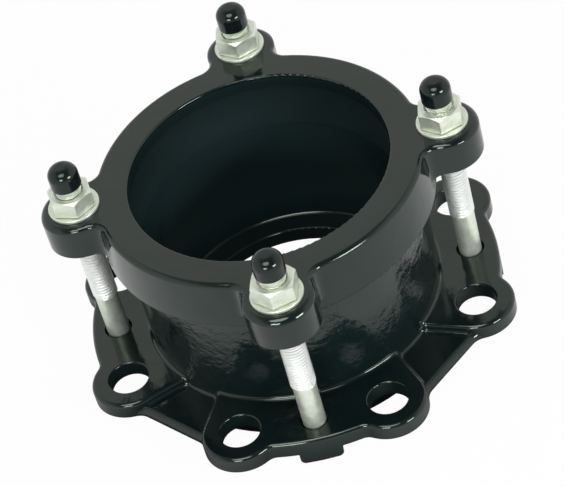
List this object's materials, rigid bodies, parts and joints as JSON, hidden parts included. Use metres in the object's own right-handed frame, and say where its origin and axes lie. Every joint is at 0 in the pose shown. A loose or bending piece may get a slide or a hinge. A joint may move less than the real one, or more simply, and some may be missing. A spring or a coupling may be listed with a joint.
{
  "type": "flange adaptor",
  "caption": "Pipe flange adaptor: black coated flanged body and clamp ring, drawn together over a wedge gasket by long zinc plated bolts with capped threads",
  "frame": {"origin": "centre of the sealing face that meets the other flange", "axes": "+Z along the pipe axis from the flange to the pipe end; the long bolts stand on the X and Y axes, and the bolt holes lie on each side of them"},
  "size_m": [0.205, 0.205, 0.123],
  "materials": {
    "coated_casting": "gloss black coating",
    "gasket_rubber": "matt",
    "zinc_steel": "dull zinc plating",
    "cap_plastic": "gloss"
  },
  "bodies": {
    "body": {"flanged_body": "coated_casting", "gasket": "gasket_rubber", "stud_1": "zinc_steel", "stud_2": "zinc_steel", "stud_3": "zinc_steel", "stud_4": "zinc_steel"},
    "ring": {"clamp_ring": "coated_casting", "washer_1": "zinc_steel", "washer_2": "zinc_steel", "washer_3": "zinc_steel", "washer_4": "zinc_steel"},
    "nut_1": {"nut_1": "zinc_steel"},
    "nut_2": {"nut_2": "zinc_steel"},
    "nut_3": {"nut_3": "zinc_steel"},
    "nut_4": {"nut_4": "zinc_steel"},
    "cap_1": {"cap_1": "cap_plastic"},
    "cap_2": {"cap_2": "cap_plastic"},
    "cap_3": {"cap_3": "cap_plastic"},
    "cap_4": {"cap_4": "cap_plastic"}
  },
  "joints": [
    {"name": "ring_slide", "type": "slide", "parent": "body", "child": "ring", "axis": [0, 0, -1], "range_m": [0, 0.008], "deforming": ["gasket"]},
    {"name": "nut_turn_1", "type": "hinge", "parent": "ring", "child": "nut_1", "pos_m": [0.086, 0, 0.0996], "axis": [0, 0, -1], "range_deg": [0, 1646]},
    {"name": "nut_turn_2", "type": "hinge", "parent": "ring", "child": "nut_2", "pos_m": [0, 0.086, 0.0996], "axis": [0, 0, -1], "range_deg": [0, 1646]},
    {"name": "nut_turn_3", "type": "hinge", "parent": "ring", "child": "nut_3", "pos_m": [-0.086, 0, 0.0996], "axis": [0, 0, -1], "range_deg": [0, 1646]},
    {"name": "nut_turn_4", "type": "hinge", "parent": "ring", "child": "nut_4", "pos_m": [0, -0.086, 0.0996], "axis": [0, 0, -1], "range_deg": [0, 1646]},
    {"name": "cap_pull_1", "type": "slide", "parent": "body", "child": "cap_1", "axis": [0, 0, 1], "range_m": [0, 0.02]},
    {"name": "cap_pull_2", "type": "slide", "parent": "body", "child": "cap_2", "axis": [0, 0, 1], "range_m": [0, 0.02]},
    {"name": "cap_pull_3", "type": "slide", "parent": "body", "child": "cap_3", "axis": [0, 0, 1], "range_m": [0, 0.02]},
    {"name": "cap_pull_4", "type": "slide", "parent": "body", "child": "cap_4", "axis": [0, 0, 1], "range_m": [0, 0.02]}
  ],
  "couplings": [
    {"joint": "nut_turn_1", "follows": "ring_slide", "rad_per_m": 3590.4},
    {"joint": "nut_turn_2", "follows": "ring_slide", "rad_per_m": 3590.4},
    {"joint": "nut_turn_3", "follows": "ring_slide", "rad_per_m": 3590.4},
    {"joint": "nut_turn_4", "follows": "ring_slide", "rad_per_m": 3590.4}
  ]
}
